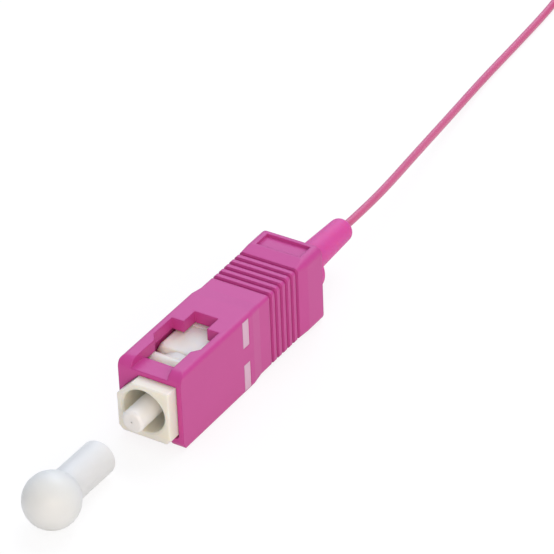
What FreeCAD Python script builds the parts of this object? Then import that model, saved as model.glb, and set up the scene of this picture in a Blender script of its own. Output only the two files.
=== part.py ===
"""SC push-pull fibre connector on a 0.9 mm pigtail, with its ferrule cap taken off.

Frame: millimetres, +Z up. The origin is the centre of the ferrule's tip, on its axis. The connector
points along -Y and lies on one of its two latch-window faces, so the other window faces up.
"""
import FreeCAD, Part
import math
import os

import Sketcher

V = FreeCAD.Vector
SIZES = "Sizes"

doc = FreeCAD.newDocument("sc_connector")
sheet = doc.addObject("Spreadsheet::Sheet", SIZES)

DIMENSIONS = [
    ("# grip housing: the outer push-pull shell",),
    ("grip_front", 3.4, "tip of the ferrule to the housing's front edge"),
    ("front_width", 7.4, "section that enters the adapter, across the key"),
    ("front_height", 9.0, "section that enters the adapter, between the window faces"),
    ("front_length", 13.2, "length of that section"),
    ("front_round", 0.5, "rounding of its long edges"),
    ("shoulder_length", 1.5, "slope down to the waist"),
    ("waist_inset", 0.18, "waist below the front section, on the key's side and its opposite"),
    ("waist_sink", 0.2, "waist below the front section, on the window faces"),
    ("waist_round", 0.4, "rounding of the waist's long edges"),
    ("block_slope_length", 1.55, "slope up to the rear block"),
    ("block_length", 2.8, "rear block behind its slope"),
    ("block_round", 0.8, "rounding of the rear block's long edges"),
    ("nose_radius", 1.15, "round of the side walls at the front, above and below"),
    ("side_wall", 0.55, "wall beside the square passage for the plug frame"),
    ("mouth_length", 1.4, "front stretch whose corners follow the plug frame's cut corners"),
    ("mouth_corner", 0.3, "its two lower corners, cut less than the frame's"),
    ("bridge_thickness", 0.5, "floor of the notch in front of the latch window"),
    ("bridge_length", 2.3, "length of that floor"),
    ("notch_width", 4.3, "notch between the side walls"),
    ("notch_length", 4.3, "notch, from the housing's front"),
    ("cheek_length", 0.8, "slope from the notch to the wide part of the window"),
    ("window_width", 5.6, "wide part of the latch window"),
    ("window_length", 3.3, "wide part of the latch window, behind the slopes"),
    ("slot_width", 2.8, "narrow rear slot of the latch window"),
    ("slot_length", 2.05, "narrow rear slot, along the connector"),
    ("rib_lead", 1.9, "shoulder to the first grip groove"),
    ("rib_pitch", 1.0, "grip groove to grip groove"),
    ("rib_count", 6, "grip grooves"),
    ("groove_width", 0.5, "width of a grip groove, at the surface"),
    ("groove_lip", 0.1, "width of the lip on each side of a groove"),
    ("groove_lip_depth", 0.1, "depth of that lip"),
    ("groove_depth", 0.28, "depth of a grip groove"),
    ("rib_tail", 0.05, "last grip groove to the rear block's slope"),
    ("panel_width", 5.2, "sunk panel on the rear block"),
    ("panel_depth", 0.3, "depth of the sunk panel"),
    ("panel_margin", 0.45, "rim behind the sunk panel"),
    ("key_width", 2.0, "adapter key, between the window faces"),
    ("key_height", 0.7, "height of the key above its face"),
    ("key_root", 0.2, "foot of the key, fused into the wall"),
    ("key_start", 1.6, "housing front to the key"),
    ("key_length", 7.6, "length of the key"),
    ("grip_travel", 1.5, "how far the housing pulls back over the plug frame"),
    ("# white index marks let into the side of the housing",),
    ("mark_start", 11.3, "housing front to the marks"),
    ("mark_width", 1.15, "mark, along the connector"),
    ("mark_height", 3.15, "mark, between the window faces"),
    ("mark_gap", 2.0, "between the two marks"),
    ("mark_depth", 0.25, "pocket that holds a mark"),
    ("mark_sink", 0.03, "mark below the housing's face"),
    ("# plug frame: the inner body",),
    ("frame_front", 2.0, "tip of the ferrule to the frame's front face"),
    ("frame_clearance", 0.05, "frame to the housing's passage, each side"),
    ("frame_block_end", 5.9, "tip of the ferrule to the end of the front block"),
    ("frame_rear", 24.0, "tip of the ferrule to the frame's rear face"),
    ("frame_body", 8.75, "tip of the ferrule to the rear body, just behind the latch bar"),
    ("frame_body_round", 1.2, "rounding of the rear body's long edges"),
    ("frame_body_nose", 0.6, "how much narrower the rear body starts, each side"),
    ("frame_body_nose_length", 0.9, "length over which it widens"),
    ("saddle_depth", 0.15, "flat recess of the rear body behind the latch bar"),
    ("saddle_end", 13.4, "tip of the ferrule to the end of that recess"),
    ("neck_gap", 0.3, "round neck under the latch bar, to the passage"),
    ("barrel_gap", 0.2, "round passage through the rear, to the square one"),
    ("frame_chamfer_key", 1.9, "corner beside the key, window side up"),
    ("frame_chamfer_low", 0.55, "the two lower corners"),
    ("frame_lead", 0.12, "lead-in round the front face"),
    ("bar_length", 5.3, "latch bar across the frame"),
    ("bar_radius", 0.95, "rounded top of the latch bar"),
    ("bar_end", 0.3, "chamfered ends of the latch bar"),
    ("bar_place", 7.35, "tip of the ferrule to the latch bar"),
    ("socket_wall", 0.5, "wall round the front chamber, at the barrel"),
    ("socket_lead", 0.2, "lead-in of the front chamber"),
    ("collar_front", 10.4, "tip of the ferrule to the collar inside the frame"),
    ("collar_length", 1.0, "thickness of the collar"),
    ("collar_radius", 1.65, "hole through the collar"),
    ("chamber_wall", 0.4, "wall round the rear chamber, at the barrel"),
    ("lug_length", 2.0, "stop lug of the frame, along the connector"),
    ("lug_width", 2.4, "stop lug, across the key"),
    ("lug_height", 0.5, "stop lug above the frame"),
    ("lug_wall", 0.8, "wall of the housing between the latch window and the lug's slot"),
    ("lug_clearance", 0.08, "stop lug to its slot in the housing"),
    ("snap_setback", 3.4, "snap holes ahead of the frame's rear face"),
    ("snap_length", 1.6, "snap hole, along the connector"),
    ("snap_height", 2.6, "snap hole, between the window faces"),
    ("snap_clearance", 0.05, "snap rib to its hole"),
    ("snap_sink", 0.1, "snap rib below the frame's outer face"),
    ("# ferrule, its metal flange and the guide tube",),
    ("ferrule_radius", 1.2495, "zirconia ferrule"),
    ("ferrule_dome", 0.25, "chamfered tip of the ferrule"),
    ("ferrule_ground", 10.0, "tip to the end of the ferrule's ground cylinder"),
    ("ferrule_seat_radius", 1.05, "rear stretch that the flange grips"),
    ("ferrule_end", 12.6, "tip to the ferrule's rear end, inside the flange"),
    ("flange_clearance", 0.15, "head of the flange to the rear chamber"),
    ("flange_length", 1.8, "thickness of the head"),
    ("flange_key_width", 0.9, "keying notch in the head"),
    ("flange_key_depth", 0.5, "depth of a keying notch"),
    ("tail_radius", 1.0, "tube behind the head"),
    ("tail_length", 6.2, "tube behind the head, along the connector"),
    ("guide_radius", 0.5, "plastic tube that guides the fibre"),
    ("guide_gap", 0.4, "ferrule's rear end to the guide tube"),
    ("guide_length", 9.0, "length of the guide tube"),
    ("ferrule_travel", 1.2, "how far the ferrule is pushed back in an adapter"),
    ("# optical fibre",),
    ("glass_radius", 0.0625, "bare glass in the ferrule"),
    ("coating_radius", 0.125, "coated fibre behind the ferrule"),
    ("coating_bore", 0.2, "hole of the guide tube and of the pigtail's front end"),
    ("fibre_lap", 0.8, "coated fibre inside the buffer's front end"),
    ("# compression spring",),
    ("spring_wire", 0.19, "radius of the wire"),
    ("spring_mean", 1.55, "radius of the coil at the wire's centre"),
    ("spring_turns", 7, "turns"),
    ("# stop ring: the rear body that closes the frame",),
    ("ring_depth", 4.0, "stop ring inside the frame"),
    ("ring_clearance", 0.03, "stop ring to the frame's rear chamber"),
    ("ring_rim_step", 0.05, "rim against the frame's rear face, below the barrel"),
    ("ring_rim_length", 0.8, "thickness of the rim"),
    ("ring_bore", 1.3, "passage for the flange's tail"),
    ("stub_radius", 1.75, "stub that carries the boot"),
    ("stub_cover", 1.4, "rear end of the stub to the end of the boot's bead"),
    ("# boot",),
    ("boot_skirt_step", 0.3, "front part, inside the housing, below the stop ring's rim"),
    ("boot_bead_clearance", 0.2, "bead behind the housing, to the passage"),
    ("boot_bead_start", 0.7, "housing's rear to the bead"),
    ("boot_bead_length", 1.0, "length of the bead"),
    ("boot_neck_radius", 1.68, "sleeve, where it leaves the bead"),
    ("boot_tip_radius", 1.35, "sleeve, at its end"),
    ("boot_sleeve_length", 8.7, "sleeve behind the bead"),
    ("boot_flat", 0.1, "flat ring round the pigtail that the round of the boot's end leaves"),
    ("# tight buffer and pigtail",),
    ("cord_radius", 0.45, "tight-buffered fibre"),
    ("buffer_room", 2.4, "guide tube, fully pushed back, to the front end of the buffer"),
    ("buffer_strip", 1.0, "free length for the coated fibre to slide in"),
    ("coil_mean_radius", 5.4, "coil of put-away pigtail, at the middle of its turns"),
    ("coil_section", 4.7, "width of the coil's bundle"),
    ("coil_height", 5.0, "height of the coil's bundle"),
    ("coil_edge_round", 0.5, "round of the bundle's edges"),
    ("tie_thickness", 0.3, "strap round the coil"),
    ("tie_width", 1.6, "width of a strap"),
    ("# dust cap",),
    ("cap_head_radius", 2.95, "round head"),
    ("cap_stem_radius", 1.9, "sleeve that covers the ferrule"),
    ("cap_reach", 9.3, "centre of the head to the open end"),
    ("cap_bore", 1.27, "bore that grips the ferrule"),
    ("cap_bore_depth", 7.2, "depth of the bore"),
    ("cap_lip", 0.3, "chamfer of the open end"),
    ("cap_gap", 3.2, "tip of the ferrule to the open end of the cap"),
    ("cap_aside", 0.9, "centre of the head beside the connector's axis"),
    ("cap_turn", 5, "degrees that the cap is turned on the table"),
]

# how far a cutting tool starts outside the solid that it cuts
CLEAR = 1

row = 1
for entry in DIMENSIONS:
    sheet.set(f"A{row}", entry[0])
    if len(entry) == 3:
        sheet.set(f"B{row}", str(entry[1]))
        sheet.setAlias(f"B{row}", entry[0])
        sheet.set(f"C{row}", entry[2])
    row += 1
doc.recompute()


def sized(text):
    """Turn an expression in plain alias names into one that reads the spreadsheet."""
    words = sorted((entry[0] for entry in DIMENSIONS if len(entry) == 3), key=len, reverse=True)
    out = ""
    i = 0
    while i < len(text):
        if text[i].isalpha():
            j = i
            while j < len(text) and (text[j].isalnum() or text[j] == "_"):
                j += 1
            word = text[i:j]
            out += f"{SIZES}.{word}" if word in words else word
            i = j
        else:
            out += text[i]
            i += 1
    return out


def value(text):
    """The number that an expression in alias names has now."""
    return float(sheet.evalExpression(sized(text)))


# widths and radii that follow from several sizes
CAVITY = "(front_width - 2 * side_wall)"
WAIST_WIDTH = "(front_width - 2 * waist_inset)"
WAIST_HEIGHT = "(front_height - 2 * waist_sink)"
BARREL_RADIUS = f"({CAVITY} / 2 - barrel_gap)"
SOCKET_RADIUS = f"({BARREL_RADIUS} - socket_wall)"
CHAMBER_RADIUS = f"({BARREL_RADIUS} - chamber_wall)"
FLANGE_RADIUS = f"({CHAMBER_RADIUS} - flange_clearance)"
RIM_RADIUS = f"({BARREL_RADIUS} - ring_rim_step)"
SKIRT_RADIUS = f"({RIM_RADIUS} - boot_skirt_step)"
BEAD_RADIUS = f"({CAVITY} / 2 - boot_bead_clearance)"

# places along the connector that follow from several sizes, from the tip of the ferrule
SHOULDER = "(grip_front + front_length + shoulder_length)"
FIRST_GROOVE = f"({SHOULDER} + rib_lead)"
BLOCK_SLOPE = f"({FIRST_GROOVE} + rib_pitch * (rib_count - 1) + groove_width + rib_tail)"
BLOCK = f"({BLOCK_SLOPE} + block_slope_length)"
GRIP_REAR = f"({BLOCK} + block_length)"
CHEEK = "(grip_front + notch_length + cheek_length)"
SLOT = f"({CHEEK} + window_length)"
LUG = f"({SLOT} + slot_length + lug_wall + grip_travel + lug_clearance)"
SNAP = "(frame_rear - snap_setback)"
FLANGE = "(collar_front + collar_length)"
SPRING_SEAT = f"({FLANGE} + flange_length)"
TAIL_END = f"({SPRING_SEAT} + tail_length)"
GUIDE = "(ferrule_end + guide_gap)"
GUIDE_END = f"({GUIDE} + guide_length)"
BUFFER = f"({GUIDE_END} + ferrule_travel + buffer_room)"
FIBRE_END = f"({BUFFER} + fibre_lap)"
STRIP_END = f"({FIBRE_END} + ferrule_travel + buffer_strip)"
RING_FRONT = "(frame_rear - ring_depth)"
RIM_REAR = "(frame_rear + ring_rim_length)"
BEAD = f"({GRIP_REAR} + boot_bead_start)"
BEAD_REAR = f"({BEAD} + boot_bead_length)"
STUB_END = f"({BEAD_REAR} - stub_cover)"
BOOT_END = f"({BEAD_REAR} + boot_sleeve_length)"


def new_body(label):
    body = doc.addObject("PartDesign::Body", label)
    body.Label = label
    return body


def plane_sketch(body, name, plane, offset="0"):
    """An empty sketch on one of the body's own origin planes, moved along the plane's normal."""
    sketch = body.newObject("Sketcher::SketchObject", name)
    origin_plane = [f for f in body.Origin.OriginFeatures if f.Role == plane][0]
    sketch.AttachmentSupport = [(origin_plane, "")]
    sketch.MapMode = "FlatFace"
    sketch.setExpression("AttachmentOffset.Base.z", sized(offset))
    return sketch


def pin_point(sketch, geometry, end, x, y):
    """Tie one point of the sketch to two expressions."""
    for kind, text in (("DistanceX", x), ("DistanceY", y)):
        index = sketch.addConstraint(Sketcher.Constraint(kind, -1, 1, geometry, end, value(text)))
        sketch.setExpression(f"Constraints[{index}]", sized(text))


def draw_loop(sketch, points):
    """A closed outline of straight lines through points given as pairs of expressions."""
    places = [V(value(x), value(y), 0) for x, y in points]
    first = sketch.GeometryCount
    count = len(points)
    for i in range(count):
        sketch.addGeometry(Part.LineSegment(places[i], places[(i + 1) % count]), False)
    for i in range(count):
        after = first + (i + 1) % count
        sketch.addConstraint(Sketcher.Constraint("Coincident", first + i, 2, after, 1))
    for i, (x, y) in enumerate(points):
        pin_point(sketch, first + i, 1, x, y)


def draw_box(sketch, x0, x1, y0, y1):
    draw_loop(sketch, [(x0, y0), (x1, y0), (x1, y1), (x0, y1)])


def draw_circle(sketch, x, y, radius):
    index = sketch.addGeometry(Part.Circle(V(value(x), value(y), 0), V(0, 0, 1), value(radius)), False)
    pin_point(sketch, index, 3, x, y)
    ring = sketch.addConstraint(Sketcher.Constraint("Radius", index, value(radius)))
    sketch.setExpression(f"Constraints[{ring}]", sized(radius))


def draw_rounded_box(sketch, width, height, radius):
    """A centred rectangle with rounded corners."""
    half_w, half_h, r = value(f"({width}) / 2"), value(f"({height}) / 2"), value(radius)
    first = sketch.GeometryCount
    corners = [(1, 1, 0), (-1, 1, 90), (-1, -1, 180), (1, -1, 270)]
    for sx, sy, start in corners:
        centre = V(sx * (half_w - r), sy * (half_h - r), 0)
        circle = Part.Circle(centre, V(0, 0, 1), r)
        arc = Part.ArcOfCircle(circle, math.radians(start), math.radians(start + 90))
        sketch.addGeometry(arc, False)
    for i in range(4):
        here = sketch.getPoint(first + i, 2)
        there = sketch.getPoint(first + (i + 1) % 4, 1)
        sketch.addGeometry(Part.LineSegment(here, there), False)
    for i in range(4):
        line = first + 4 + i
        sketch.addConstraint(Sketcher.Constraint("Tangent", first + i, 2, line, 1))
        sketch.addConstraint(Sketcher.Constraint("Tangent", line, 2, first + (i + 1) % 4, 1))
    for i, (sx, sy, _) in enumerate(corners):
        pin_point(sketch, first + i, 3, f"{sx} * (({width}) / 2 - {radius})",
                  f"{sy} * (({height}) / 2 - {radius})")
    ring = sketch.addConstraint(Sketcher.Constraint("Radius", first, r))
    sketch.setExpression(f"Constraints[{ring}]", sized(radius))


def pad(body, sketch, length, midplane=False, reverse=False):
    feature = body.newObject("PartDesign::Pad", sketch.Name + "_pad")
    feature.Profile = sketch
    feature.setExpression("Length", sized(length))
    if midplane:
        feature.SideType = "Symmetric"
    feature.Reversed = reverse
    sketch.Visibility = False
    return feature


def pocket(body, sketch, length, midplane=False, reverse=False):
    """A pocket that must take material away."""
    doc.recompute()
    before = body.Shape.Volume
    feature = body.newObject("PartDesign::Pocket", sketch.Name + "_cut")
    feature.Profile = sketch
    feature.setExpression("Length", sized(length))
    if midplane:
        feature.SideType = "Symmetric"
    feature.Reversed = reverse
    doc.recompute()
    if body.Shape.Volume > before - 1e-6:
        raise RuntimeError(f"{feature.Name} cuts nothing")
    return feature


def turn(body, name, points, cut=False):
    """A solid of revolution about Y from pairs (y, radius)."""
    sketch = plane_sketch(body, name, "XY_Plane")
    draw_loop(sketch, [(radius, y) for y, radius in points])
    kind = "PartDesign::Groove" if cut else "PartDesign::Revolution"
    doc.recompute()
    feature = body.newObject(kind, name + "_turned")
    feature.Profile = sketch
    feature.ReferenceAxis = (sketch, ["V_Axis"])
    feature.Angle = 360
    doc.recompute()
    return feature


# %% section that the plug frame and the housing's mouth share
def frame_outline(inset, low="frame_chamfer_low"):
    """The frame's section: three corners cut off, the one beside the window and the marks left square."""
    half = f"({CAVITY} / 2 - frame_clearance - ({inset}))"
    shorter = 2 - math.sqrt(2)
    key_cut = f"(frame_chamfer_key - {shorter} * ({inset}))"
    low_cut = f"({low} - {shorter} * ({inset}))"
    return [
        (half, half),
        (f"-{half} + {key_cut}", half),
        (f"-{half}", f"{half} - {key_cut}"),
        (f"-{half}", f"-{half} + {low_cut}"),
        (f"-{half} + {low_cut}", f"-{half}"),
        (f"{half} - {low_cut}", f"-{half}"),
        (half, f"-{half} + {low_cut}"),
    ]


# %% grip housing
def make_grip_housing():
    body = new_body("grip_housing")
    stations = [
        ("grip_front", "front_width", "front_height", "front_round"),
        ("grip_front + front_length", "front_width", "front_height", "front_round"),
        (SHOULDER, WAIST_WIDTH, WAIST_HEIGHT, "waist_round"),
        (BLOCK_SLOPE, WAIST_WIDTH, WAIST_HEIGHT, "waist_round"),
        (BLOCK, "front_width", "front_height", "block_round"),
        (GRIP_REAR, "front_width", "front_height", "block_round"),
    ]
    sections = []
    for i, (place, width, height, radius) in enumerate(stations):
        section = plane_sketch(body, f"grip_section_{i + 1}", "XZ_Plane", f"-({place})")
        draw_rounded_box(section, width, height, radius)
        sections.append(section)
    doc.recompute()
    shell = body.newObject("PartDesign::AdditiveLoft", "grip_outer")
    shell.Profile = sections[0]
    shell.Sections = sections[1:]
    shell.Ruled = True
    doc.recompute()

    # the passage for the plug frame: a mouth with cut corners, then a plain square
    mouth = plane_sketch(body, "grip_mouth", "XZ_Plane", f"-(grip_front - {CLEAR})")
    draw_loop(mouth, frame_outline("-frame_clearance", "mouth_corner"))
    pocket(body, mouth, f"{GRIP_REAR} - grip_front + {2 * CLEAR}")
    passage = plane_sketch(body, "grip_passage", "XZ_Plane", "-(grip_front + mouth_length)")
    draw_box(passage, f"-{CAVITY} / 2", f"{CAVITY} / 2", f"-{CAVITY} / 2", f"{CAVITY} / 2")
    pocket(body, passage, f"{GRIP_REAR} - grip_front + {CLEAR}")

    # the side walls end in a round nose above and below the passage
    for side, name in ((1, "upper"), (-1, "lower")):
        nose = plane_sketch(body, f"grip_nose_{name}", "YZ_Plane")
        r = value("nose_radius")
        y0 = value("grip_front")
        z0 = value("front_height / 2")
        points = [V(y0, side * (z0 - r), 0), V(y0 - CLEAR, side * (z0 - r), 0),
                  V(y0 - CLEAR, side * (z0 + CLEAR), 0), V(y0 + r, side * (z0 + CLEAR), 0),
                  V(y0 + r, side * z0, 0)]
        for a, b in zip(points[:-1], points[1:]):
            nose.addGeometry(Part.LineSegment(a, b), False)
        from_angle = 90 if side > 0 else 180
        circle = Part.Circle(V(y0 + r, side * (z0 - r), 0), V(0, 0, 1), r)
        arc = Part.ArcOfCircle(circle, math.radians(from_angle), math.radians(from_angle + 90))
        nose.addGeometry(arc, False)
        upper_end, lower_end = (1, 2) if side > 0 else (2, 1)
        for i in range(3):
            nose.addConstraint(Sketcher.Constraint("Coincident", i, 2, i + 1, 1))
        nose.addConstraint(Sketcher.Constraint("Coincident", 3, 2, 4, upper_end))
        nose.addConstraint(Sketcher.Constraint("Coincident", 4, lower_end, 0, 1))
        wall_foot = f"{side} * (front_height / 2 - nose_radius)"
        above = f"{side} * (front_height / 2 + {CLEAR})"
        pin_point(nose, 0, 1, "grip_front", wall_foot)
        pin_point(nose, 1, 1, f"grip_front - {CLEAR}", wall_foot)
        pin_point(nose, 2, 1, f"grip_front - {CLEAR}", above)
        pin_point(nose, 3, 1, "grip_front + nose_radius", above)
        pin_point(nose, 3, 2, "grip_front + nose_radius", f"{side} * front_height / 2")
        ring = nose.addConstraint(Sketcher.Constraint("Radius", 4, r))
        nose.setExpression(f"Constraints[{ring}]", sized("nose_radius"))
        pocket(body, nose, f"front_width + {2 * CLEAR}", midplane=True)

    # the notch, whose floor bridges the passage, and behind it the latch window
    for side, name in ((1, "upper"), (-1, "lower")):
        floor = f"{side} * ({CAVITY} / 2 + bridge_thickness)"
        notch = plane_sketch(body, f"grip_notch_{name}", "XY_Plane", floor)
        draw_box(notch, "-notch_width / 2", "notch_width / 2",
                 f"grip_front - {CLEAR}", "grip_front + notch_length")
        pocket(body, notch, "front_height", reverse=side > 0)
    window = plane_sketch(body, "grip_window", "XY_Plane")
    widths = [
        ("grip_front + bridge_length", "notch_width / 2"),
        ("grip_front + notch_length", "notch_width / 2"),
        (CHEEK, "window_width / 2"),
        (SLOT, "window_width / 2"),
        (SLOT, "slot_width / 2"),
        (f"{SLOT} + slot_length", "slot_width / 2"),
    ]
    right = [(half, y) for y, half in widths]
    left = [(f"-{half}", y) for y, half in reversed(widths)]
    draw_loop(window, right + left)
    pocket(body, window, f"front_height + {2 * CLEAR}", midplane=True)

    # slots that let the frame's stop lugs travel
    slot = plane_sketch(body, "grip_lug_slot", "YZ_Plane")
    draw_box(slot, f"{LUG} - lug_clearance - grip_travel", f"{LUG} + lug_length + lug_clearance",
             f"-{CAVITY} / 2 - lug_height", f"{CAVITY} / 2 + lug_height")
    pocket(body, slot, "lug_width + 2 * lug_clearance", midplane=True)

    # pockets for the index marks
    marks = plane_sketch(body, "grip_mark_pockets", "YZ_Plane", "front_width / 2 - mark_depth")
    for low, high in (("mark_gap / 2", "mark_gap / 2 + mark_height"),
                      ("-mark_gap / 2 - mark_height", "-mark_gap / 2")):
        draw_box(marks, "grip_front + mark_start", "grip_front + mark_start + mark_width", low, high)
    pocket(body, marks, f"mark_depth + {CLEAR}", reverse=True)

    # sunk panels on the rear block
    for side, name in ((1, "upper"), (-1, "lower")):
        panel = plane_sketch(body, f"grip_panel_{name}", "XY_Plane",
                             f"{side} * (front_height / 2 - panel_depth)")
        draw_box(panel, "-panel_width / 2", "panel_width / 2",
                 f"{BLOCK} + panel_margin / 2", f"{GRIP_REAR} - panel_margin")
        pocket(body, panel, "front_height", reverse=side > 0)

    # the adapter key
    key = plane_sketch(body, "grip_key", "YZ_Plane", "-(front_width / 2 + key_height)")
    draw_box(key, "grip_front + key_start", "grip_front + key_start + key_length",
             "-key_width / 2", "key_width / 2")
    pad(body, key, "key_height + key_root")
    doc.recompute()

    # grip grooves all round the waist, each with a stepped lip that softens its edges
    cuts = []
    for name, lip, depth in (("floor", "groove_lip", "groove_depth"), ("lips", "0", "groove_lip_depth")):
        groove = plane_sketch(body, f"grip_groove_{name}", "XZ_Plane", f"-({FIRST_GROOVE} + {lip})")
        draw_rounded_box(groove, f"{WAIST_WIDTH} + {2 * CLEAR}", f"{WAIST_HEIGHT} + {2 * CLEAR}",
                         "waist_round")
        draw_rounded_box(groove, f"{WAIST_WIDTH} - 2 * {depth}", f"{WAIST_HEIGHT} - 2 * {depth}",
                         "waist_round")
        cuts.append(pocket(body, groove, f"groove_width - 2 * {lip}"))
    ribs = body.newObject("PartDesign::LinearPattern", "grip_grooves")
    ribs.Originals = cuts
    ribs.Direction = (groove, ["N_Axis"])
    ribs.Reversed = True
    ribs.setExpression("Length", sized("rib_pitch * (rib_count - 1)"))
    ribs.setExpression("Occurrences", sized("rib_count"))
    body.Tip = ribs
    doc.recompute()
    return body


# %% index marks
def make_mark(label, low, high):
    body = new_body(label)
    face = plane_sketch(body, label + "_outline", "YZ_Plane", "front_width / 2 - mark_depth")
    draw_box(face, "grip_front + mark_start", "grip_front + mark_start + mark_width", low, high)
    pad(body, face, "mark_depth - mark_sink")
    return body


# %% plug frame
def make_plug_frame():
    body = new_body("plug_frame")
    neck = plane_sketch(body, "frame_neck", "XZ_Plane", "-(frame_front + frame_lead)")
    draw_circle(neck, "0", "0", f"{CAVITY} / 2 - neck_gap")
    pad(body, neck, "frame_rear - frame_front - frame_lead", reverse=True)
    front = plane_sketch(body, "frame_front_block", "XZ_Plane", "-(frame_front + frame_lead)")
    draw_loop(front, frame_outline("0"))
    pad(body, front, "frame_block_end - frame_front - frame_lead", reverse=True)
    face = plane_sketch(body, "frame_front_face", "XZ_Plane", "-frame_front")
    draw_loop(face, frame_outline("frame_lead"))
    step = plane_sketch(body, "frame_front_edge", "XZ_Plane", "-(frame_front + frame_lead)")
    draw_loop(step, frame_outline("0"))
    doc.recompute()
    lead = body.newObject("PartDesign::AdditiveLoft", "frame_lead_in")
    lead.Profile = face
    lead.Sections = [step]
    lead.Ruled = True
    doc.recompute()
    # the rear body starts narrow behind the latch bar and widens in a rounded nose
    stations = [
        ("frame_body", "frame_body_nose"),
        ("frame_body + frame_body_nose_length / 4", "frame_body_nose * 0.35"),
        ("frame_body + frame_body_nose_length", "0"),
        ("frame_rear", "0"),
    ]
    sections = []
    for i, (place, inset) in enumerate(stations):
        size = f"({CAVITY} - 2 * frame_clearance - 2 * {inset})"
        section = plane_sketch(body, f"frame_section_{i + 1}", "XZ_Plane", f"-({place})")
        draw_rounded_box(section, size, size, f"(frame_body_round - {inset} / 2)")
        sections.append(section)
    doc.recompute()
    rear = body.newObject("PartDesign::AdditiveLoft", "frame_rear_body")
    rear.Profile = sections[0]
    rear.Sections = sections[1:]
    rear.Ruled = True
    doc.recompute()
    for side, name in ((1, "upper"), (-1, "lower")):
        saddle = plane_sketch(body, f"frame_saddle_{name}", "XY_Plane",
                              f"{side} * ({CAVITY} / 2 - frame_clearance - saddle_depth)")
        draw_box(saddle, f"-{CAVITY} / 2", f"{CAVITY} / 2", "frame_body", "saddle_end")
        pocket(body, saddle, f"saddle_depth + {CLEAR}", reverse=side > 0)
    # latch bars that the adapter's hooks catch, one under each window
    for side, name in ((1, "upper"), (-1, "lower")):
        bar = plane_sketch(body, f"frame_bar_{name}", "XY_Plane",
                           f"{side} * ({CAVITY} / 2 - frame_clearance - bar_radius)")
        bar.setExpression("AttachmentOffset.Base.y", sized("bar_place"))
        draw_loop(bar, [
            ("-bar_length / 2", "0"),
            ("bar_length / 2", "0"),
            ("bar_length / 2", "bar_radius - bar_end"),
            ("bar_length / 2 - bar_end", "bar_radius"),
            ("-bar_length / 2 + bar_end", "bar_radius"),
            ("-bar_length / 2", "bar_radius - bar_end"),
        ])
        doc.recompute()
        round_bar = body.newObject("PartDesign::Revolution", f"frame_bar_{name}_turned")
        round_bar.Profile = bar
        round_bar.ReferenceAxis = (bar, ["H_Axis"])
        round_bar.Angle = 360
        doc.recompute()
    lugs = plane_sketch(body, "frame_lugs", "YZ_Plane")
    reach = f"{CAVITY} / 2 - frame_clearance + lug_height - lug_clearance"
    draw_box(lugs, LUG, f"{LUG} + lug_length", f"-({reach})", reach)
    pad(body, lugs, "lug_width", midplane=True)
    doc.recompute()
    # stepped bore: front chamber, collar, rear chamber
    turn(body, "frame_bore", [
        (f"frame_front - {CLEAR}", "0"),
        (f"frame_front - {CLEAR}", f"{SOCKET_RADIUS} + socket_lead"),
        ("frame_front", f"{SOCKET_RADIUS} + socket_lead"),
        ("frame_front + socket_lead", SOCKET_RADIUS),
        ("collar_front", SOCKET_RADIUS),
        ("collar_front", "collar_radius"),
        (FLANGE, "collar_radius"),
        (FLANGE, CHAMBER_RADIUS),
        (f"frame_rear + {CLEAR}", CHAMBER_RADIUS),
        (f"frame_rear + {CLEAR}", "0"),
    ], cut=True)
    snaps = plane_sketch(body, "frame_snap_holes", "YZ_Plane")
    draw_box(snaps, SNAP, f"{SNAP} + snap_length", "-snap_height / 2", "snap_height / 2")
    pocket(body, snaps, f"{CAVITY} + {2 * CLEAR}", midplane=True)
    return body


# %% ferrule group
def make_ferrule():
    body = new_body("ferrule")
    turn(body, "ferrule_profile", [
        ("0", "glass_radius"),
        ("0", "ferrule_radius - ferrule_dome"),
        ("ferrule_dome", "ferrule_radius"),
        ("ferrule_ground", "ferrule_radius"),
        ("ferrule_ground", "ferrule_seat_radius"),
        ("ferrule_end", "ferrule_seat_radius"),
        ("ferrule_end", "glass_radius"),
    ])
    return body


def make_ferrule_flange():
    body = new_body("ferrule_flange")
    turn(body, "flange_profile", [
        (FLANGE, "ferrule_seat_radius"),
        (FLANGE, FLANGE_RADIUS),
        (SPRING_SEAT, FLANGE_RADIUS),
        (SPRING_SEAT, "tail_radius"),
        (TAIL_END, "tail_radius"),
        (TAIL_END, "guide_radius"),
        ("ferrule_end", "guide_radius"),
        ("ferrule_end", "ferrule_seat_radius"),
    ])
    notch = plane_sketch(body, "flange_key", "XZ_Plane", f"-({FLANGE} - {CLEAR})")
    draw_box(notch, f"{FLANGE_RADIUS} - flange_key_depth", f"{FLANGE_RADIUS} + {CLEAR}",
             "-flange_key_width / 2", "flange_key_width / 2")
    first = pocket(body, notch, f"flange_length + {2 * CLEAR}")
    keys = body.newObject("PartDesign::PolarPattern", "flange_keys")
    keys.Originals = [first]
    keys.Axis = (notch, ["N_Axis"])
    keys.Angle = 360
    keys.Occurrences = 4
    body.Tip = keys
    return body


def make_guide_tube():
    body = new_body("guide_tube")
    turn(body, "guide_profile", [
        (GUIDE, "coating_bore"),
        (GUIDE, "guide_radius"),
        (GUIDE_END, "guide_radius"),
        (GUIDE_END, "coating_bore"),
    ])
    return body


def make_optical_fibre():
    body = new_body("optical_fibre")
    turn(body, "fibre_profile", [
        ("0", "0"),
        ("0", "glass_radius"),
        ("ferrule_end", "glass_radius"),
        ("ferrule_end", "coating_radius"),
        (FIBRE_END, "coating_radius"),
        (FIBRE_END, "0"),
    ])
    return body


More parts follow.
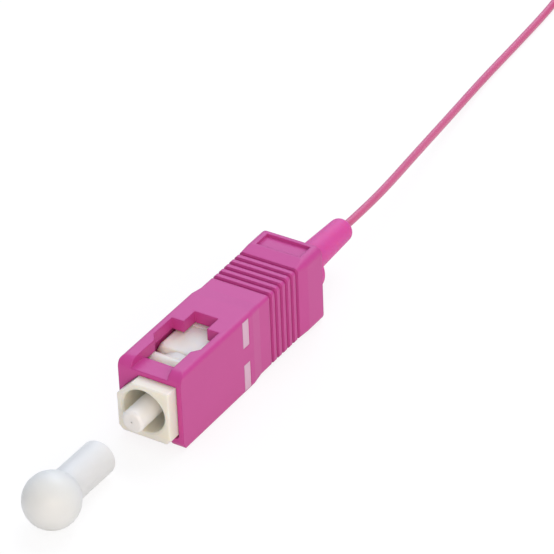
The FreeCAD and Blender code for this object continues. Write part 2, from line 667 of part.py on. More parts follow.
def make_spring():
    """Wire coiled on the flange's tail between the flange head and the stop ring."""
    body = new_body("spring")
    height = f"({RING_FRONT} - {SPRING_SEAT} - 2 * spring_wire)"
    wire = plane_sketch(body, "spring_wire_section", "XY_Plane")
    draw_circle(wire, "spring_mean", f"{SPRING_SEAT} + spring_wire", "spring_wire")
    doc.recompute()
    coil = body.newObject("PartDesign::AdditiveHelix", "spring_coil")
    coil.Profile = wire
    coil.ReferenceAxis = (wire, ["V_Axis"])
    coil.Mode = 1
    coil.setExpression("Pitch", sized(f"{height} / spring_turns"))
    coil.setExpression("Turns", sized("spring_turns"))
    coil.setExpression("Height", sized(height))
    coil.Angle = 0
    doc.recompute()
    return body


# %% rear body, boot
def make_stop_ring():
    body = new_body("stop_ring")
    turn(body, "ring_profile", [
        (RING_FRONT, "ring_bore"),
        (RING_FRONT, f"{CHAMBER_RADIUS} - ring_clearance"),
        ("frame_rear", f"{CHAMBER_RADIUS} - ring_clearance"),
        ("frame_rear", RIM_RADIUS),
        (RIM_REAR, RIM_RADIUS),
        (RIM_REAR, "stub_radius"),
        (STUB_END, "stub_radius"),
        (STUB_END, "cord_radius"),
        (BUFFER, "cord_radius"),
        (BUFFER, "ring_bore"),
    ])
    snap = plane_sketch(body, "ring_snaps", "YZ_Plane")
    draw_box(snap, f"{SNAP} + snap_clearance", f"{SNAP} + snap_length - snap_clearance",
             "-snap_height / 2 + snap_clearance", "snap_height / 2 - snap_clearance")
    pad(body, snap, f"{CAVITY} - 2 * frame_clearance - 2 * snap_sink", midplane=True)
    doc.recompute()
    turn(body, "ring_passage", [
        (f"{RING_FRONT} - {CLEAR}", "0"),
        (f"{RING_FRONT} - {CLEAR}", "ring_bore"),
        (BUFFER, "ring_bore"),
        (BUFFER, "0"),
    ], cut=True)
    return body


def make_boot():
    body = new_body("boot")
    turn(body, "boot_profile", [
        (RIM_REAR, "stub_radius"),
        (RIM_REAR, SKIRT_RADIUS),
        (BEAD, SKIRT_RADIUS),
        (BEAD, BEAD_RADIUS),
        (BEAD_REAR, BEAD_RADIUS),
        (BEAD_REAR, "boot_neck_radius"),
        (BOOT_END, "boot_tip_radius"),
        (BOOT_END, "cord_radius"),
        (STUB_END, "cord_radius"),
        (STUB_END, "stub_radius"),
    ])
    doc.recompute()
    names = []
    for i, edge in enumerate(body.Shape.Edges):
        curve = edge.Curve
        if curve.TypeId == "Part::GeomCircle" and abs(curve.Radius - value("boot_tip_radius")) < 1e-6:
            names.append(f"Edge{i + 1}")
    sleeve = body.Tip
    end = body.newObject("PartDesign::Fillet", "boot_end_round")
    end.Base = (sleeve, names)
    end.setExpression("Radius", sized("boot_tip_radius - cord_radius - boot_flat"))
    doc.recompute()
    return body


# %% dust cap
def make_dust_cap():
    """A ball head on a sleeve, turned about its own axis and laid on the table."""
    body = new_body("dust_cap")
    head = plane_sketch(body, "cap_head", "XY_Plane")
    r = value("cap_head_radius")
    circle = Part.Circle(V(0, 0, 0), V(0, 0, 1), r)
    head.addGeometry(Part.ArcOfCircle(circle, -math.pi / 2, math.pi / 2), False)
    head.addGeometry(Part.LineSegment(V(0, r, 0), V(0, -r, 0)), False)
    head.addConstraint(Sketcher.Constraint("Coincident", 0, 2, 1, 1))
    head.addConstraint(Sketcher.Constraint("Coincident", 1, 2, 0, 1))
    pin_point(head, 0, 3, "0", "0")
    pin_point(head, 1, 1, "0", "cap_head_radius")
    head.addConstraint(Sketcher.Constraint("Vertical", 1))
    doc.recompute()
    ball = body.newObject("PartDesign::Revolution", "cap_ball")
    ball.Profile = head
    ball.ReferenceAxis = (head, ["V_Axis"])
    ball.Angle = 360
    doc.recompute()
    turn(body, "cap_stem", [
        ("0", "0"),
        ("0", "cap_stem_radius"),
        ("cap_reach - cap_lip", "cap_stem_radius"),
        ("cap_reach", "cap_stem_radius - cap_lip"),
        ("cap_reach", "0"),
    ])
    turn(body, "cap_bore_cut", [
        ("cap_reach - cap_bore_depth", "0"),
        ("cap_reach - cap_bore_depth", "cap_bore"),
        (f"cap_reach + {CLEAR}", "cap_bore"),
        (f"cap_reach + {CLEAR}", "0"),
    ], cut=True)
    # the head is thicker than the stem, so the cap lies nose down on the table
    dip = math.degrees(math.asin(value("(cap_head_radius - cap_stem_radius) / cap_reach")))
    floor = -value("front_height") / 2
    head_place = V(-value("cap_aside"), -value("cap_gap + cap_reach"), floor + value("cap_head_radius"))
    turned = FreeCAD.Rotation(V(0, 0, 1), value("cap_turn")).multiply(FreeCAD.Rotation(V(1, 0, 0), -dip))
    body.Placement = FreeCAD.Placement(head_place, turned)
    return body


# %% pigtail
def make_buffer():
    """The straight end of the tight buffer, held in the stop ring's stub and the boot."""
    body = new_body("buffer")
    turn(body, "buffer_profile", [
        (BUFFER, "coating_bore"),
        (BUFFER, "cord_radius"),
        (BOOT_END, "cord_radius"),
        (BOOT_END, "0"),
        (STRIP_END, "0"),
        (STRIP_END, "coating_bore"),
    ])
    return body


# the pigtail's route on from the boot's end: across, behind the boot's end, up
CORD_POINTS = [
    (0, 3.4, 0), (-0.75, 9.3, -0.45), (-2.45, 19.5, -1.7), (-4.3, 29.7, -3.15), (-5.6, 39.3, -3.93),
    (-6.35, 48.6, -4.05), (-7.45, 58.6, -4.05), (-8.45, 67.1, -4.05), (-9.0, 73.1, -3.75),
]


def cord_places():
    boot_end = value(BOOT_END)
    return [V(0, boot_end, 0)] + [V(x, boot_end + y, z) for x, y, z in CORD_POINTS]


def rounded_route(points):
    """Straight runs joined by tangent arcs, each as large as its two runs allow."""
    edges = []
    radii = []
    here = points[0]
    for before, corner, after in zip(points[:-2], points[1:-1], points[2:]):
        arriving = (corner - before).normalize()
        leaving = (after - corner).normalize()
        half_turn = arriving.getAngle(leaving) / 2
        shorter = min((corner - before).Length, (after - corner).Length)
        cut = 0.45 * shorter
        radius = cut / math.tan(half_turn)
        radii.append(radius)
        start = corner - arriving * cut
        finish = corner + leaving * cut
        inward = (leaving - arriving).normalize()
        centre = corner + inward * (radius / math.cos(half_turn))
        middle = centre - inward * radius
        edges.append(Part.LineSegment(here, start).toShape())
        edges.append(Part.Arc(start, middle, finish).toShape())
        here = finish
    edges.append(Part.LineSegment(here, points[-1]).toShape())
    print("bend radii of the pigtail, mm:", [round(r, 1) for r in radii])
    return Part.Wire(edges)


def make_pigtail():
    feature = doc.addObject("Part::Feature", "pigtail")
    feature.Label = "pigtail"
    route = rounded_route(cord_places())
    r = value("cord_radius")
    section = Part.Wire(Part.Circle(cord_places()[0], V(0, 1, 0), r).toShape())
    tube = route.makePipeShell([section], True, False)
    share = tube.Volume / (math.pi * r * r * route.Length)
    print(f"pigtail route {route.Length:.2f} mm, volume over section x length {share:.4f}")
    feature.Shape = tube
    return feature


def coil_centre():
    """The pigtail's last run is tangent to the coil's outer turn, with the coil on its +X side."""
    before, last = cord_places()[-2:]
    along = (last - before).normalize()
    across = V(along.y, -along.x, 0)
    middle = last + across * value("coil_mean_radius + coil_section / 2 - cord_radius")
    middle.z = value("tie_thickness") - value("front_height") / 2
    return middle


def make_coil():
    """The whole bundle of turns as one ring with rounded edges."""
    middle = coil_centre()
    r = value("coil_mean_radius")
    w = value("coil_section") / 2
    tall = value("coil_height")
    ring = Part.makeCylinder(r + w, tall).cut(Part.makeCylinder(r - w, tall))
    edges = [e for e in ring.Edges if e.Curve.TypeId == "Part::GeomCircle"]
    ring = ring.makeFillet(value("coil_edge_round"), edges)
    ring.translate(middle)
    feature = doc.addObject("Part::Feature", "pigtail_coil")
    feature.Label = "pigtail_coil"
    feature.Shape = ring
    return feature


def make_tie(label, angle):
    """A strap round the coil's bundle: a flat band bent into a closed loop."""
    w = value("coil_section")
    tall = value("coil_height")
    t = value("tie_thickness")
    wide = value("tie_width")
    r = value("coil_mean_radius")
    outer = Part.makeBox(w + 2 * t, wide, tall + 2 * t, V(r - w / 2 - t, -wide / 2, -t))
    inner = Part.makeBox(w, wide + 2 * CLEAR, tall, V(r - w / 2, -wide / 2 - CLEAR, 0))
    outer_edges = [e for e in outer.Edges if e.BoundBox.YLength > wide - 1e-6]
    outer = outer.makeFillet(value("coil_edge_round") + t, outer_edges)
    inner_edges = [e for e in inner.Edges if e.BoundBox.YLength > wide]
    inner = inner.makeFillet(value("coil_edge_round"), inner_edges)
    band = outer.cut(inner)
    band.rotate(V(0, 0, 0), V(0, 0, 1), angle)
    band.translate(coil_centre())
    feature = doc.addObject("Part::Feature", label)
    feature.Label = label
    feature.Shape = band
    return feature


sub_parts = [
    make_grip_housing(),
    make_mark("mark_upper", "mark_gap / 2", "mark_gap / 2 + mark_height"),
    make_mark("mark_lower", "-mark_gap / 2 - mark_height", "-mark_gap / 2"),
    make_plug_frame(),
    make_ferrule(),
    make_ferrule_flange(),
    make_guide_tube(),
    make_optical_fibre(),
    make_spring(),
    make_stop_ring(),
    make_boot(),
    make_dust_cap(),
    make_buffer(),
    make_pigtail(),
    make_coil(),
    make_tie("coil_tie_near", 60),
    make_tie("coil_tie_far", 300),
]
doc.recompute()

for thing in doc.Objects:
    if "Invalid" in thing.State or "Error" in thing.State:
        raise RuntimeError(f"{thing.Name} failed: {thing.State}")
for part in sub_parts:
    if part.Shape.isNull() or not part.Shape.isValid():
        raise RuntimeError(f"{part.Label} has no valid shape")
    if len(part.Shape.Solids) != 1:
        raise RuntimeError(f"{part.Label} has {len(part.Shape.Solids)} solids")

os.makedirs("parts", exist_ok=True)
for part in sub_parts:
    part.Shape.exportStep(f"parts/{part.Label}.step")
    box = part.Shape.BoundBox
    print(f"{part.Label}: {part.Shape.Volume:.2f} mm3,"
          f" x {box.XMin:.2f}..{box.XMax:.2f}, y {box.YMin:.2f}..{box.YMax:.2f},"
          f" z {box.ZMin:.2f}..{box.ZMax:.2f}")
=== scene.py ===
# %% [markdown]
# # A push-pull fibre connector with its dust cap off
#
# The rigid pieces come ready from the CAD frame, at their real size and place, and are never
# moved. This lesson gives each of them its finish, lays the thin pigtail as one smooth curve,
# and sets up the table, the light and the camera. Everything is in metres, with the origin at
# the tip of the ferrule, the connector pointing along -Y and +Z up.

# %% Load the frame
import math

import bmesh
import bpy
from mathutils import Matrix, Vector


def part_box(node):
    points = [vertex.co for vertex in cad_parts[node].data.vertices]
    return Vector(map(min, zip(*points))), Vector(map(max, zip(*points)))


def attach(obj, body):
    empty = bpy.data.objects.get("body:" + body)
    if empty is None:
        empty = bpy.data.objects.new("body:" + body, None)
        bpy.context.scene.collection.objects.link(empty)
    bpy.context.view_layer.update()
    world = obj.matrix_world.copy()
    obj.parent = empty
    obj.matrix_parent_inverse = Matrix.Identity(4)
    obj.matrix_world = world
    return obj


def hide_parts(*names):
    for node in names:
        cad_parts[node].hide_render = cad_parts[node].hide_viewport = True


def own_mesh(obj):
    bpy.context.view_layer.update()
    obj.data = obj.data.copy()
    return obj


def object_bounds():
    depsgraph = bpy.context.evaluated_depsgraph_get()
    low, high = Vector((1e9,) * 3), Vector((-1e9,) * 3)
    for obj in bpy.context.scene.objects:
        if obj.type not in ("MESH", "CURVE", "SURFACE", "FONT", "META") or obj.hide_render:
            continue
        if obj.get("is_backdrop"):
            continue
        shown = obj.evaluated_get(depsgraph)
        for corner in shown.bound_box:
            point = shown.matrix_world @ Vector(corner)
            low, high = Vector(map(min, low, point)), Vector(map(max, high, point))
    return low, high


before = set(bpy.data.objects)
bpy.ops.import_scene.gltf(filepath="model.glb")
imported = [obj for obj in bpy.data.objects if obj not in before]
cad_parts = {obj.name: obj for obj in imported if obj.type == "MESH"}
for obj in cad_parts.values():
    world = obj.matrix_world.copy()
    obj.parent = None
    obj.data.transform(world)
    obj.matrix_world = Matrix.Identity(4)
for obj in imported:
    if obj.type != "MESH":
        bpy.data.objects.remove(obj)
cad_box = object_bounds()
MM = 0.001
print("nodes:", len(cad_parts))

# %% [markdown]
# ## Colours and a node helper
#
# Colours are written as the sRGB hex values that a designer picks on a screen, and one function
# turns them into the linear numbers that Blender's shaders work with. One more function adds a
# node, gives it its settings and joins its inputs, so that a material below reads from top to
# bottom like a recipe.


# %% Helpers for materials
def colour(hex_text):
    """Linear red, green, blue, alpha of an sRGB hex value."""
    linear = []
    for start in (0, 2, 4):
        part = int(hex_text[start:start + 2], 16) / 255
        linear.append(part / 12.92 if part <= 0.04045 else ((part + 0.055) / 1.055) ** 2.4)
    return (*linear, 1.0)


def node(tree, kind, inputs=(), **settings):
    """Add a node; inputs maps a socket's name to a value or to another node's output."""
    made = tree.nodes.new(kind)
    for name, setting in settings.items():
        setattr(made, name, setting)
    for name, given in dict(inputs).items():
        socket = made.inputs[name]
        if isinstance(given, bpy.types.NodeSocket):
            tree.links.new(given, socket)
        else:
            socket.default_value = given
    return made


def new_material(name, **constants):
    """A material with one Principled shader whose constant sockets are set directly."""
    material = bpy.data.materials.new(name)
    material.use_nodes = True
    tree = material.node_tree
    tree.nodes.clear()
    shader = node(tree, "ShaderNodeBsdfPrincipled",
                  {key.replace("_", " "): given for key, given in constants.items()})
    output = node(tree, "ShaderNodeOutputMaterial", {"Surface": shader.outputs["BSDF"]})
    output.is_active_output = True
    return material, tree, shader


def per_mm(size_mm):
    """Scale of a noise texture on Object coordinates whose blobs are size_mm across."""
    return 1 / (size_mm * MM)


print("violet in linear light:", [round(c, 3) for c in colour("CB4998")])

# %% [markdown]
# ## Moulded plastics
#
# The grip, the plug frame, the boot and the cap are injection moulded. Such a surface is never
# perfectly even: the tool leaves a fine spark-eroded grain, the colour drifts a little where the
# melt flowed, and the edges are slightly round, so they catch the light as thin bright lines.
# One recipe makes all of these, with the colours, the grain and the edge's radius as its
# parameters. The Bevel node rounds the edges in the shading alone, which suits a radius of a
# tenth or two of a millimetre.


# %% The moulded plastic recipe
FLOW_MM = 6
GLOSS_DRIFT = 0.06


def moulded(name, base, drift, grain_mm, grain_height_mm, roughness, edge_mm, **constants):
    """Injection-moulded plastic: a slow drift of colour, a fine grain and softly rounded edges."""
    material, tree, shader = new_material(name, **constants)
    place = node(tree, "ShaderNodeTexCoord").outputs["Object"]
    flow = node(tree, "ShaderNodeTexNoise",
                {"Vector": place, "Scale": per_mm(FLOW_MM), "Detail": 2, "Roughness": 0.5})
    tint = node(tree, "ShaderNodeMix",
                {"Factor": flow.outputs["Fac"], "A": colour(base), "B": colour(drift)},
                data_type="RGBA")
    grain = node(tree, "ShaderNodeTexNoise",
                 {"Vector": place, "Scale": per_mm(grain_mm), "Detail": 3, "Roughness": 0.6})
    gloss = node(tree, "ShaderNodeMapRange",
                 {"Value": grain.outputs["Fac"], "To Min": roughness - GLOSS_DRIFT,
                  "To Max": roughness + GLOSS_DRIFT})
    edge = node(tree, "ShaderNodeBevel", {"Radius": edge_mm * MM}, samples=6)
    bump = node(tree, "ShaderNodeBump",
                {"Height": grain.outputs["Fac"], "Distance": grain_height_mm * MM,
                 "Strength": 0.5, "Normal": edge.outputs["Normal"]})
    tree.links.new(tint.outputs["Result"], shader.inputs["Base Color"])
    tree.links.new(gloss.outputs["Result"], shader.inputs["Roughness"])
    tree.links.new(bump.outputs["Normal"], shader.inputs["Normal"])
    return material


print("grain of 0.2 mm is a noise scale of", per_mm(0.2))

# %% [markdown]
# ## The finishes
#
# - The grip is PBT plastic dyed heather violet, with a satin shine from the spark-eroded tool.
# - The two index marks are white ink-filled pockets: matt, and a little violet shows through.
# - The plug frame is ivory PBT. Some light enters it, which softens the shade in its bore.
# - The ferrule is zirconia, ground and polished: a dense white ceramic with a soft reflection.
# - The flange and the stop ring are nickel-plated brass, the spring is stainless wire.
# - The boot is a soft elastomer, pinker than the grip, because light enters it.
# - The dust cap and the ties are translucent polyethylene and nylon: milky, so they get
#   subsurface scattering instead of a hard white.

# %% Plastics
grip_plastic = moulded(
    "violet_moulded_PBT", "CB4998", "C64493", grain_mm=0.16, grain_height_mm=0.010,
    roughness=0.36, edge_mm=0.2, IOR=1.5, Specular_IOR_Level=0.3)
mark_ink = moulded(
    "white_pad_print_ink", "DAB2C8", "E2BED2", grain_mm=0.2, grain_height_mm=0.006,
    roughness=0.5, edge_mm=0.04, IOR=1.5)
frame_plastic = moulded(
    "ivory_moulded_PBT", "EFECDC", "F1EEE0", grain_mm=0.25, grain_height_mm=0.006,
    roughness=0.36, edge_mm=0.1, IOR=1.5, Subsurface_Weight=0.8,
    Subsurface_Scale=1.2 * MM, Subsurface_Radius=(1.0, 0.8, 0.6))
boot_rubber = moulded(
    "pink_violet_elastomer", "DE4CA4", "D8489E", grain_mm=0.22, grain_height_mm=0.010,
    roughness=0.5, edge_mm=0.08, IOR=1.5, Subsurface_Weight=0.25, Subsurface_Scale=0.5 * MM)
cap_plastic = moulded(
    "milky_polyethylene", "E7EAE6", "E4E7E3", grain_mm=0.4, grain_height_mm=0.006,
    roughness=0.42, edge_mm=0.12, IOR=1.51, Subsurface_Weight=0.7,
    Subsurface_Scale=1.2 * MM, Subsurface_Radius=(1.0, 1.0, 0.95))
tie_plastic = moulded(
    "natural_nylon", "EFEFEA", "E8E8E2", grain_mm=0.3, grain_height_mm=0.008,
    roughness=0.45, edge_mm=0.05, IOR=1.53, Subsurface_Weight=0.3, Subsurface_Scale=0.5 * MM)
guide_plastic = moulded(
    "white_acetal_tube", "EDEDEB", "E6E6E4", grain_mm=0.2, grain_height_mm=0.004,
    roughness=0.4, edge_mm=0.03, IOR=1.48)
plastics = (grip_plastic, mark_ink, frame_plastic, boot_rubber, cap_plastic, tie_plastic,
            guide_plastic)
print("plastics:", [material.name for material in plastics])

# %% [markdown]
# ## Ceramic, metal and glass
#
# Zirconia is ground round and its tip is polished, so its recipe has almost no grain, and the
# edges of the tip are shaded as one wide soft round. The metal pieces are turned or drawn: fine
# lines run round them, made here by a noise that is squeezed along the connector's axis with a
# Mapping node. The glass fibre is a plain dielectric.


# %% Ceramic, turned metal, glass
zirconia = moulded(
    "polished_zirconia", "F4F3EE", "F1F0EA", grain_mm=0.5, grain_height_mm=0.001,
    roughness=0.32, edge_mm=0.22, IOR=2.1, Specular_IOR_Level=0.15, Subsurface_Weight=0.5,
    Subsurface_Scale=0.6 * MM, Subsurface_Radius=(1.0, 0.95, 0.85))

BRIGHT_LINE = "E9E6DF"
LINE_STRETCH = 0.05
LINE_HEIGHT = 0.004 * MM
LINE_GLOSS = 0.08


def turned_metal(name, base, line_mm, roughness):
    """Metal from a lathe: fine rings round the Y axis, and the colour of its plating."""
    material, tree, shader = new_material(name, Metallic=1.0)
    place = node(tree, "ShaderNodeTexCoord").outputs["Object"]
    stretched = node(tree, "ShaderNodeMapping",
                     {"Vector": place, "Scale": (LINE_STRETCH, 1, LINE_STRETCH)})
    rings = node(tree, "ShaderNodeTexNoise",
                 {"Vector": stretched.outputs["Vector"], "Scale": per_mm(line_mm), "Detail": 2})
    tint = node(tree, "ShaderNodeMix",
                {"Factor": rings.outputs["Fac"], "A": colour(base), "B": colour(BRIGHT_LINE)},
                data_type="RGBA")
    gloss = node(tree, "ShaderNodeMapRange",
                 {"Value": rings.outputs["Fac"], "To Min": roughness - LINE_GLOSS,
                  "To Max": roughness + LINE_GLOSS})
    bump = node(tree, "ShaderNodeBump",
                {"Height": rings.outputs["Fac"], "Distance": LINE_HEIGHT, "Strength": 0.4})
    tree.links.new(tint.outputs["Result"], shader.inputs["Base Color"])
    tree.links.new(gloss.outputs["Result"], shader.inputs["Roughness"])
    tree.links.new(bump.outputs["Normal"], shader.inputs["Normal"])
    return material


plated_brass = turned_metal("nickel_plated_brass", "C9C2B4", line_mm=0.08, roughness=0.3)
spring_steel = turned_metal("drawn_stainless_wire", "BDBDBF", line_mm=0.05, roughness=0.28)

silica, silica_tree, silica_shader = new_material("silica_glass_fibre", IOR=1.458,
                                                  Transmission_Weight=1.0)
silica_place = node(silica_tree, "ShaderNodeTexCoord").outputs["Object"]
silica_cloud = node(silica_tree, "ShaderNodeTexNoise",
                    {"Vector": silica_place, "Scale": per_mm(0.5)})
silica_gloss = node(silica_tree, "ShaderNodeMapRange",
                    {"Value": silica_cloud.outputs["Fac"], "To Min": 0.02, "To Max": 0.08})
silica_tree.links.new(silica_gloss.outputs["Result"], silica_shader.inputs["Roughness"])
print("metals:", plated_brass.name, spring_steel.name)

# %% [markdown]
# ## Put each finish on its piece
#
# A CAD piece keeps its mesh, so only its material slots are filled. Its mesh is smooth-shaded by
# angle already, as it comes from the frame.

# %% Assign the finishes
finishes = {
    "grip_housing": grip_plastic,
    "mark_upper": mark_ink,
    "mark_lower": mark_ink,
    "plug_frame": frame_plastic,
    "ferrule": zirconia,
    "ferrule_flange": plated_brass,
    "guide_tube": guide_plastic,
    "optical_fibre": silica,
    "stop_ring": plated_brass,
    "boot": boot_rubber,
    "dust_cap": cap_plastic,
    "coil_tie_near": tie_plastic,
    "coil_tie_far": tie_plastic,
}
for name, material in finishes.items():
    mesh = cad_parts[name].data
    mesh.materials.clear()
    mesh.materials.append(material)
print("finished CAD pieces:", len(finishes))

# %% [markdown]
# ## The spring that the ferrule presses together
#
# Inside, a compression spring of thin stainless wire pushes the ferrule forward. When a mating
# ferrule pushes back, its turns close up while its rear end stays against the stop ring. A CAD
# piece keeps its shape, so it can't show that. The wire is wound here once more: a small circle
# is spun round the axis and stepped along it at the same time, which draws a helix. The finished
# coil rides with the plug's body, in place of the CAD spring, which is hidden.

# %% Wind the spring
SPRING_WIRE = 0.19 * MM
SPRING_TURNS = 7
SPRING_STEPS = SPRING_TURNS * 24
WIRE_SIDES = 10
spring_low, spring_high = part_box("spring")
spring_length = spring_high.y - spring_low.y
spring_rise = (spring_length - 2 * SPRING_WIRE) / SPRING_STEPS
winding = bmesh.new()
bmesh.ops.create_circle(winding, segments=WIRE_SIDES, radius=SPRING_WIRE)
bmesh.ops.translate(winding, verts=winding.verts,
                    vec=(spring_high.x - SPRING_WIRE, spring_low.y + SPRING_WIRE, 0))
bmesh.ops.spin(winding, geom=winding.edges[:], cent=(0, 0, 0), axis=(0, 1, 0),
               dvec=(0, spring_rise, 0), angle=2 * math.pi * SPRING_TURNS, steps=SPRING_STEPS)
bmesh.ops.holes_fill(winding, edges=[edge for edge in winding.edges if edge.is_boundary])
bmesh.ops.recalc_face_normals(winding, faces=winding.faces)
for face in winding.faces:
    face.smooth = True
spring_mesh = bpy.data.meshes.new("compression_spring")
winding.to_mesh(spring_mesh)
winding.free()
spring_mesh.materials.append(spring_steel)
spring = bpy.data.objects.new("compression_spring", spring_mesh)
bpy.context.collection.objects.link(spring)

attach(spring, "plug")
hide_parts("spring")
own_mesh(spring)
print("spring:", round(spring_length / MM, 2), "mm long, faces:", len(spring_mesh.polygons))

# %% [markdown]
# ## The pigtail
#
# The pigtail is one glass fibre in a tight nylon buffer, 0.9 mm thick and 1 m long. It leaves the
# boot, sinks to the table within a few centimetres and runs off in a lazy curve. What is left of
# its length is wound into a coil 12 diameters across, as it comes out of its bag. It is one NURBS
# curve with a round bevel: the control points of the route come first, and a loop adds the turns
# of the coil, each a thread's width beside or above the one before.

# %% Route of the pigtail
CORD_RADIUS = 0.45 * MM
BOOT_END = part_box("boot")[1].y
CORD_POINTS = [
    (0, 0, 0), (0, 3.4, -0.05), (-0.5, 9.3, -0.5), (-2.2, 19.5, -1.7), (-4.0, 29.7, -3.15),
    (-5.35, 39.3, -3.93), (-5.95, 48.6, -4.05), (-6.6, 58.6, -4.05), (-7.8, 67.1, -4.05),
    (-9.0, 73.1, -3.75),
]
route = [Vector((x * MM, BOOT_END + y * MM, z * MM)) for x, y, z in CORD_POINTS]
print("route:", len(route), "points, runs in mm:",
      [round((b - a).length / MM, 1) for a, b in zip(route[:-1], route[1:])])

# %% [markdown]
# ## The coil of put-away length
#
# Five layers of five turns lie in the space of the coil's CAD solid. Within a layer each turn
# keeps its own radius and then sidesteps by one thread in the last fifth of the turn, as a hand
# winds it; at the end of a layer it steps up instead. A quadratic NURBS curve runs a little
# inside its control points, so their circle is drawn slightly larger. The last turn stops a few
# points early, where the pigtail's bare end lies.

# %% Turns of the coil
coil_low, coil_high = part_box("pigtail_coil")
coil_centre = (coil_low + coil_high) / 2
coil_outer = (coil_high.x - coil_low.x) / 2
TURNS_IN_LAYER = 5
LAYERS = 5
POINTS_IN_TURN = 16
POINTS_LEFT_OUT = 3
SIDESTEP = 0.8
THREAD_PITCH = 0.93 * MM
LAYER_PITCH = 0.95 * MM
RIM = 0.03 * MM

step_angle = 2 * math.pi / POINTS_IN_TURN
control_scale = 1 / math.cos(step_angle / 2)
outer_radius = coil_outer - CORD_RADIUS - RIM
bottom = coil_low.z + CORD_RADIUS
start = route[-1] - coil_centre
start_angle = math.atan2(start.y, start.x)


def eased(share):
    """A smooth step from 0 to 1 over the last part of a turn."""
    t = max(0.0, (share - SIDESTEP) / (1 - SIDESTEP))
    return t * t * (3 - 2 * t)


def place_in_winding(turn):
    """Column counted from the outside, and layer, of a whole turn."""
    layer, column = divmod(turn, TURNS_IN_LAYER)
    return (column if layer % 2 == 0 else TURNS_IN_LAYER - 1 - column), layer


coil_points = []
turns = TURNS_IN_LAYER * LAYERS
for i in range(1, turns * POINTS_IN_TURN - POINTS_LEFT_OUT):
    turn, part = divmod(i, POINTS_IN_TURN)
    column, layer = place_in_winding(turn)
    next_column, next_layer = place_in_winding(min(turn + 1, turns - 1))
    ease = eased(part / POINTS_IN_TURN)
    column += (next_column - column) * ease
    layer += (next_layer - layer) * ease
    radius = (outer_radius - column * THREAD_PITCH) * control_scale
    angle = start_angle - i * step_angle
    coil_points.append(Vector((coil_centre.x + radius * math.cos(angle),
                               coil_centre.y + radius * math.sin(angle),
                               bottom + layer * LAYER_PITCH)))
print("coil:", turns, "turns, outer radius", round(coil_outer / MM, 2), "mm")

# %% [markdown]
# ## One curve for the whole pigtail
#
# Route and turns become the control points of a single NURBS spline. Its order and its endpoint
# setting come after the points, because set earlier they fall back to straight runs.

# %% Make the pigtail
cord_curve = bpy.data.curves.new("pigtail_buffered", "CURVE")
cord_curve.dimensions = "3D"
spline = cord_curve.splines.new("NURBS")
cord_points = route + coil_points
spline.points.add(len(cord_points) - 1)
for point, where in zip(spline.points, cord_points):
    point.co = (*where, 1.0)
spline.order_u = 3
spline.use_endpoint_u = True
cord_curve.resolution_u = 6
cord_curve.bevel_depth = CORD_RADIUS
cord_curve.bevel_resolution = 4
cord_curve.use_fill_caps = True
pigtail = bpy.data.objects.new("pigtail_buffered", cord_curve)
bpy.context.collection.objects.link(pigtail)

buffer_nylon = moulded(
    "violet_extruded_nylon", "D45E8C", "CC5886", grain_mm=0.3, grain_height_mm=0.004,
    roughness=0.36, edge_mm=0.03, IOR=1.53)
cord_curve.materials.append(buffer_nylon)
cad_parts["buffer"].data.materials.clear()
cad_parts["buffer"].data.materials.append(buffer_nylon)

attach(pigtail, "plug")
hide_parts("pigtail", "pigtail_coil")
print("pigtail control points:", len(cord_points))

# %% [markdown]
# ## Table and background
#
# The connector lies on a plain white table. For the camera, and for what shows in a reflection,
# part of the table's brightness is its own, so the white stays even while the soft shadow of the
# pieces is kept. For all other rays it is a plain pale diffuse surface.


# %% Table and world
def white_ground(name, diffuse, own_light, share):
    """Diffuse paint; the camera and reflections also see a share of its own even light."""
    material = bpy.data.materials.new(name)
    material.use_nodes = True
    tree = material.node_tree
    tree.nodes.clear()
    paint = node(tree, "ShaderNodeBsdfDiffuse", {"Color": colour(diffuse)})
    glow = node(tree, "ShaderNodeEmission", {"Color": colour("FFFFFF"), "Strength": own_light})
    mixed = node(tree, "ShaderNodeMixShader", {"Fac": share})
    tree.links.new(paint.outputs["BSDF"], mixed.inputs[1])
    tree.links.new(glow.outputs["Emission"], mixed.inputs[2])
    path = node(tree, "ShaderNodeLightPath")
    seen = node(tree, "ShaderNodeMath", operation="ADD")
    tree.links.new(path.outputs["Is Camera Ray"], seen.inputs[0])
    tree.links.new(path.outputs["Is Glossy Ray"], seen.inputs[1])
    seen_all = node(tree, "ShaderNodeMath", operation="ADD", use_clamp=True)
    tree.links.new(seen.outputs["Value"], seen_all.inputs[0])
    tree.links.new(path.outputs["Is Transmission Ray"], seen_all.inputs[1])
    chosen = node(tree, "ShaderNodeMixShader", {"Fac": seen_all.outputs["Value"]})
    tree.links.new(paint.outputs["BSDF"], chosen.inputs[1])
    tree.links.new(mixed.outputs["Shader"], chosen.inputs[2])
    node(tree, "ShaderNodeOutputMaterial", {"Surface": chosen.outputs["Shader"]})
    return material


TABLE_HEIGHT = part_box("grip_housing")[0].z
TABLE_GAP = 0.01 * MM
TABLE_REACH = 3.0
table_mesh = bpy.data.meshes.new("table")
shape = bmesh.new()
bmesh.ops.create_grid(shape, x_segments=1, y_segments=1, size=TABLE_REACH)
bmesh.ops.translate(shape, verts=shape.verts, vec=(0, 0, TABLE_HEIGHT - TABLE_GAP))
shape.to_mesh(table_mesh)
shape.free()
table = bpy.data.objects.new("table", table_mesh)
bpy.context.collection.objects.link(table)
table_mesh.materials.append(white_ground("white_table", "E8E8E8", own_light=1.1, share=0.76))
table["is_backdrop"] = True

world = bpy.data.worlds.new("studio")
bpy.context.scene.world = world
world.use_nodes = True
sky = world.node_tree
sky.nodes.clear()
sky_path = node(sky, "ShaderNodeLightPath")
soft = node(sky, "ShaderNodeBackground", {"Color": colour("F3F5FF"), "Strength": 0.55})
white = node(sky, "ShaderNodeBackground", {"Color": colour("FFFFFF"), "Strength": 1.0})
sky_mix = node(sky, "ShaderNodeMixShader", {"Fac": sky_path.outputs["Is Camera Ray"]})
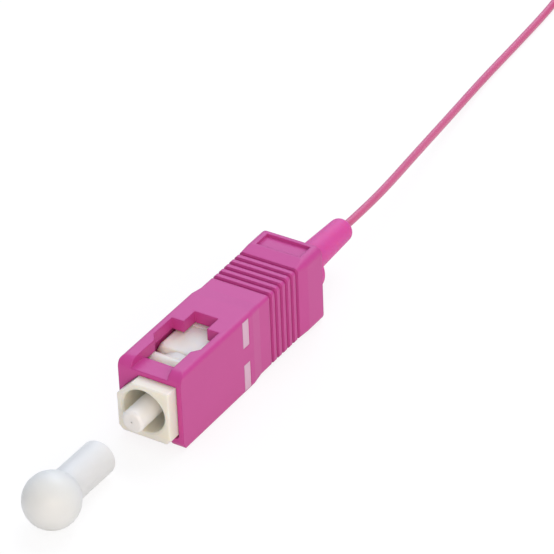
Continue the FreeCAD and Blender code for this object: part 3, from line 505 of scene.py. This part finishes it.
sky.links.new(soft.outputs["Background"], sky_mix.inputs[1])
sky.links.new(white.outputs["Background"], sky_mix.inputs[2])
node(sky, "ShaderNodeOutputWorld", {"Surface": sky_mix.outputs["Shader"]})
print("table at z =", round(TABLE_HEIGHT / MM, 2), "mm")

# %% [markdown]
# ## Light and camera
#
# Four soft boxes light the connector, as on a product table. One hangs above and a little behind.
# A cool one stands where the top faces mirror it, which gives the violet plastic its pale lilac
# sheen. A warm one lights the visible side, and another stands beside the camera and reaches into
# the bore round the ferrule. Their tones differ a little, so the ivory frame looks neutral from
# above and creamy from the front. The camera has a long lens, so the connector keeps nearly
# parallel edges; it looks down at the front corner and is tipped by less than 3 degrees.


# %% Lamps and camera
def soft_box(name, place, aim, size, watts, tone):
    """A square lamp, size metres wide, that shines from place towards aim."""
    lamp = bpy.data.lights.new(name, "AREA")
    lamp.shape = "SQUARE"
    lamp.size = size
    lamp.energy = watts
    lamp.color = colour(tone)[:3]
    holder = bpy.data.objects.new(name, lamp)
    bpy.context.collection.objects.link(holder)
    holder.location = place
    holder.rotation_euler = (Vector(aim) - Vector(place)).to_track_quat("-Z", "Y").to_euler()
    return holder


middle = Vector((0, 0.015, 0))
soft_box("top_box", (0, 0.34, 0.5), middle, size=0.35, watts=1.2, tone="F0F3FF")
soft_box("cool_back_box", (-0.33, 0.52, 0.42), middle, size=0.4, watts=1.05, tone="DEEAFF")
soft_box("warm_side_box", (0.5, -0.2, 0.22), middle, size=0.35, watts=0.56, tone="FFF2E6")
soft_box("warm_front_box", (0.34, -0.48, 0.26), middle, size=0.3, watts=1.3, tone="FFE8D6")

LENS = 224.36
CAMERA_PLACE = Vector((0.162712, -0.220693, 0.198957))
CAMERA_LOOK = Vector((-0.456871, 0.69541, -0.554683))
CAMERA_ROLL = math.radians(-2.325)
camera_data = bpy.data.cameras.new("camera")
camera_data.lens = LENS
camera_data.sensor_width = 36
camera_data.clip_start = 0.01
camera = bpy.data.objects.new("camera", camera_data)
bpy.context.collection.objects.link(camera)
turned = CAMERA_LOOK.to_track_quat("-Z", "Y").to_matrix() @ Matrix.Rotation(CAMERA_ROLL, 3, "Z")
camera.matrix_world = Matrix.Translation(CAMERA_PLACE) @ turned.to_4x4()
bpy.context.scene.camera = camera
bpy.context.scene.view_settings.view_transform = "Standard"
print("camera", round((CAMERA_PLACE - middle).length / MM), "mm away, lens", LENS, "mm")

# %% [markdown]
# ## The size, and the end
#
# Both boxes are printed: the CAD model's and the dressed model's.
# The dressed model has to stay in the CAD model's box, so both boxes are written down.

# %% Sizes, and the end
made_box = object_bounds()
for name, (low, high) in (("CAD", cad_box), ("made", made_box)):
    print(name, "box in mm:", [round(v / MM, 2) for v in (*low, *high)])
